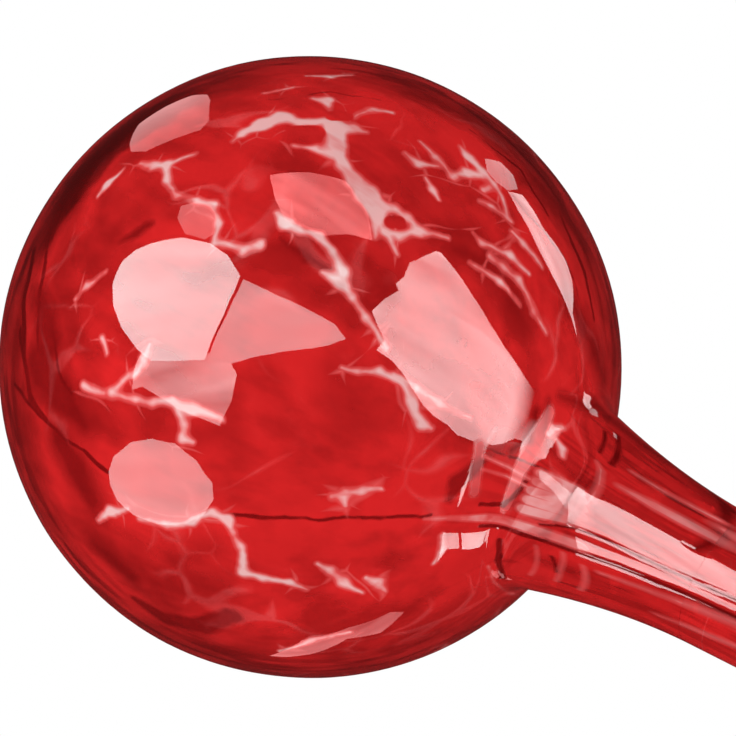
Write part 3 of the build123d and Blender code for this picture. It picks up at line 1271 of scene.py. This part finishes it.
# %% [markdown]
# A window seen in blown glass isn't evenly bright: the glass drags it out into streaks. Noise, stretched
# along the window's longest line, makes it uneven. Seen at a flat angle near the rim, any glass mirrors
# like polished metal, and the panes would burn out there in other views. Light Path's Ray Length tells
# how far away the glass is: taken from the pane's distance to the bulb's middle it is large where the
# bulb mirrors the pane steeply and small at the rim, so the glow fades out between the two. Where it is
# more than the bulb's radius the mirror is the thin stem, which gets little of the glow.

# %% Make a window's glow
neck_panes = ("band", "under")
veiled = ("tall", "sill", "haze", "low", "strip", "band", "under")
steep_only = ("lobe", "tail", "round", "oval", "sill", "tall", "haze", "pane_left", "pane_right")


def uneven_glow(tree, place, corners, strength, streaky_share):
    """A strength that changes in streaks along the window's longest line."""
    far_end = max(corners, key=lambda corner: (corner - corners[0]).length)
    other_end = max(corners, key=lambda corner: (corner - far_end).length)
    length = (other_end - far_end).normalized()
    along = scaled(tree, length * 0.8, vectors(tree, "DOT_PRODUCT", place, length))
    drawn_out = vectors(tree, "SUBTRACT", place, along)
    uneven = noise(tree, drawn_out, 5 / (other_end - far_end).length, 3)
    weakest, strongest = (1 - streaky_share) * strength, (1 + streaky_share * 0.6) * strength
    return remap(tree, uneven, 0.3, 0.7, weakest, strongest)


def steepness(tree, place, name):
    """The share of a window's glow that the glass gets, by how much nearer it is than the bulb's middle."""
    away = vectors(tree, "DISTANCE", place, bulb_middle)
    nearer = maths(tree, "SUBTRACT", away, add(tree, "ShaderNodeLightPath").outputs["Ray Length"])
    on_stem = remap(tree, nearer, 39 * MM, 43 * MM, 1.0, 0.15)
    if name not in steep_only:
        return on_stem
    flat, steep = (26.5, 29) if name == "tall" else (19, 23)
    return maths(tree, "MULTIPLY", remap(tree, nearer, flat * MM, steep * MM), on_stem)


def window_glow(name, corners, strength, colour):
    """The glowing material of one window."""
    glow, tree, surface = new_material("glow_" + name)
    place = add(tree, "ShaderNodeTexCoord").outputs["Object"]
    strength = uneven_glow(tree, place, corners, strength, 0.45 if name in veiled else 0.15)
    if name not in neck_panes:
        strength = maths(tree, "MULTIPLY", strength, steepness(tree, place, name))
    light = add(tree, "ShaderNodeEmission", {"Color": (*colour, 1), "Strength": strength})
    tree.links.new(light.outputs[0], surface)
    return glow


print(len(veiled), "streaky windows,", len(steep_only), "seen only steeply")

# %% [markdown]
# A pane is one face made from its corners, with no tool needed. It is hidden from the camera, from light
# that comes through the glass and from the soft light, so it shows in reflections alone.

# %% Hang the windows
for number, (name, (strength, colour, outline)) in enumerate(windows.items()):
    distance_out = neck_window if name in neck_panes else far_window + number * 10 * MM
    corners = [reflected(x, y, distance_out) for x, y in outline]
    mesh = bpy.data.meshes.new("window_" + name)
    mesh.from_pydata(corners, [], [list(range(len(corners)))])
    window = bpy.data.objects.new("window_" + name, mesh)
    bpy.context.scene.collection.objects.link(window)
    window.visible_camera = window.visible_diffuse = window.visible_transmission = False
    window.visible_shadow = window.visible_volume_scatter = False
    mesh.materials.append(window_glow(name, corners, strength, colour))
    print(window.name, len(corners), "corners")

# %% [markdown]
# One soft lamp from the upper left gives the globe its shadow on the floor. It is kept out of the
# reflections, where the windows do its work. The view is set to Standard, so that a colour is shown as it
# is written.

# %% Add the lamp and finish
bpy.ops.object.light_add(type="AREA", location=(-0.5, -0.6, 1.0))
lamp = bpy.context.object
lamp.name = "soft_lamp"
lamp.data.size = 0.6
lamp.data.energy = 6
lamp.rotation_euler = (Vector((0, 0, 0.2)) - lamp.location).to_track_quat("-Z", "Y").to_euler()
lamp.visible_glossy = False
bpy.context.scene.view_settings.view_transform = "Standard"
